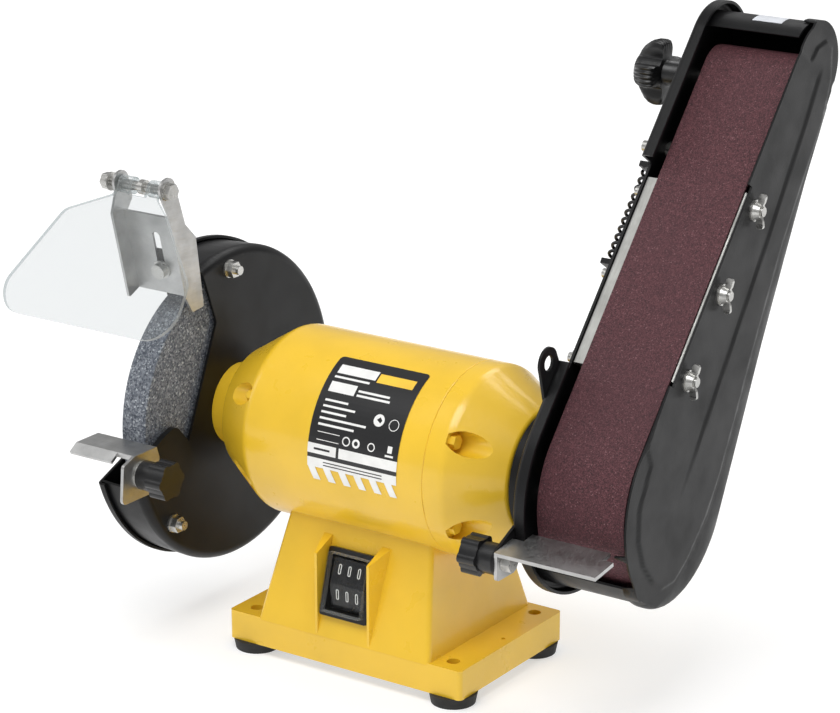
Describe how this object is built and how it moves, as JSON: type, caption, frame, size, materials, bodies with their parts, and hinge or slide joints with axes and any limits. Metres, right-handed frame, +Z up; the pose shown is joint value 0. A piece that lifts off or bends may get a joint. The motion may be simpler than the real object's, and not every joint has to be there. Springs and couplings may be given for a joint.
{
  "type": "bench grinder with belt sander",
  "caption": "Bench grinder with a guarded abrasive wheel at one end of its motor and a tilting belt sanding arm at the other, on a cast base with rubber feet.",
  "frame": {"origin": "centre of the four bench bolt holes, on the plane the rubber feet stand on", "axes": "+X along the shaft from the grinding wheel to the sanding belt, +Y to the back of the machine, +Z up"},
  "size_m": [0.366, 0.2665, 0.3475],
  "materials": {
    "yellow_paint": "gloss",
    "black_paint": "satin",
    "zinc_steel": "satin",
    "bracket_steel": "satin",
    "bright_steel": "gloss",
    "black_oxide": "satin",
    "lamination_steel": "matte",
    "copper_wire": "satin",
    "cast_aluminium": "satin",
    "capacitor_can": "satin",
    "black_rubber": "matte",
    "black_plastic": "satin",
    "rocker_plastic": "gloss",
    "clear_plastic": "clear",
    "abrasive_stone": "matte",
    "abrasive_cloth": "matte",
    "label_film": "satin",
    "sticker_film": "satin",
    "paper_disc": "matte"
  },
  "bodies": {
    "stand": {"base_casting": "yellow_paint", "bottom_plate": "zinc_steel", "base_screws": "zinc_steel", "rubber_feet": "black_rubber", "cord_gland": "black_rubber", "run_capacitor": "capacitor_can", "capacitor_clip": "zinc_steel", "switch_body": "black_plastic", "switch_dust_cover": "clear_plastic", "motor_housing": "yellow_paint", "right_end_bell": "yellow_paint", "through_bolts": "yellow_paint", "stator_core": "lamination_steel", "stator_windings": "copper_wire", "left_bearing": "bright_steel", "right_bearing": "bright_steel", "rating_label": "label_film", "guard_housing": "black_paint", "guard_cover": "black_paint", "guard_bolts": "zinc_steel", "guard_mount_screws": "zinc_steel", "bracket_screw": "zinc_steel", "left_rest_arm": "black_paint", "left_rest_bolt": "zinc_steel", "arm_retaining_ring": "bright_steel"},
    "rotor": {"shaft": "bright_steel", "rotor_core": "lamination_steel", "inner_wheel_flange": "zinc_steel", "outer_wheel_flange": "zinc_steel", "wheel_blotters": "paper_disc", "grinding_wheel": "abrasive_stone", "wheel_nut": "zinc_steel", "drive_drum": "cast_aluminium", "drum_nut": "zinc_steel"},
    "switch_rocker_body": {"switch_rocker": "rocker_plastic"},
    "shield_mount": {"shield_bracket": "bracket_steel", "shield_hinge_bolt": "zinc_steel"},
    "shield": {"eye_shield": "clear_plastic"},
    "left_rest": {"left_tool_rest": "bracket_steel"},
    "left_knob": {"left_rest_knob": "black_plastic"},
    "sanding_arm": {"arm_collar": "black_paint", "collar_screws": "zinc_steel", "arm_back_plate": "black_paint", "arm_wall": "black_paint", "arm_outer_cover": "black_paint", "platen": "bracket_steel", "platen_studs": "zinc_steel", "wing_nuts": "zinc_steel", "sanding_belt": "abrasive_cloth", "slide_guide_bolts": "zinc_steel", "arm_sticker": "sticker_film", "right_rest_bolt": "zinc_steel", "tension_spring": "black_oxide"},
    "belt_tensioner": {"tension_slide": "black_paint", "idler_axle": "zinc_steel"},
    "idler": {"idler_pulley": "cast_aluminium", "idler_bearings": "bright_steel"},
    "tracking_screw": {"tracking_knob": "black_plastic"},
    "right_rest": {"right_tool_rest": "bracket_steel"},
    "right_knob": {"right_rest_knob": "black_plastic"}
  },
  "joints": [
    {"name": "rotor_spin", "type": "hinge", "parent": "stand", "child": "rotor", "pos_m": [0, 0, 0.1205], "axis": [1, 0, 0], "continuous": true},
    {"name": "arm_tilt", "type": "hinge", "parent": "stand", "child": "sanding_arm", "pos_m": [0.102, 0, 0.1205], "axis": [1, 0, 0], "range_deg": [-56.3, 33.7]},
    {"name": "belt_tension", "type": "slide", "parent": "sanding_arm", "child": "belt_tensioner", "axis": [0, 0.5548, 0.832], "range_m": [-0.008, 0], "stiffness_N_per_m": 2500, "springref_m": 0.012, "deforming": ["tension_spring"]},
    {"name": "idler_spin", "type": "hinge", "parent": "belt_tensioner", "child": "idler", "pos_m": [0.1445, 0.12456, 0.30727], "axis": [1, 0, 0], "continuous": true},
    {"name": "tracking_knob_turn", "type": "hinge", "parent": "belt_tensioner", "child": "tracking_screw", "pos_m": [0.09, 0.12456, 0.30727], "axis": [1, 0, 0], "range_deg": [-360, 360]},
    {"name": "right_rest_slide", "type": "slide", "parent": "sanding_arm", "child": "right_rest", "axis": [0, 1, 0], "range_m": [-0.004, 0.001]},
    {"name": "right_knob_turn", "type": "hinge", "parent": "sanding_arm", "child": "right_knob", "pos_m": [0.1, -0.06901, 0.09921], "axis": [1, 0, 0], "range_deg": [-360, 360]},
    {"name": "left_rest_slide", "type": "slide", "parent": "stand", "child": "left_rest", "axis": [0, 1, 0], "range_m": [-0.012, 0]},
    {"name": "left_knob_turn", "type": "hinge", "parent": "stand", "child": "left_knob", "pos_m": [-0.09, -0.0895, 0.1068], "axis": [1, 0, 0], "range_deg": [-360, 360]},
    {"name": "shield_height", "type": "slide", "parent": "stand", "child": "shield_mount", "axis": [0, -0.2368, 0.9715], "range_m": [-0.008, 0.003]},
    {"name": "shield_tilt", "type": "hinge", "parent": "shield_mount", "child": "shield", "pos_m": [-0.12, -0.058, 0.2535], "axis": [-1, 0, 0], "range_deg": [0, 95]},
    {"name": "switch_rock", "type": "hinge", "parent": "stand", "child": "switch_rocker_body", "pos_m": [0, -0.03958, 0.0501], "axis": [-1, 0, 0], "range_deg": [0, 16]}
  ],
  "couplings": [
    {"joint": "idler_spin", "follows": "rotor_spin", "ratio": 2.6033}
  ]
}
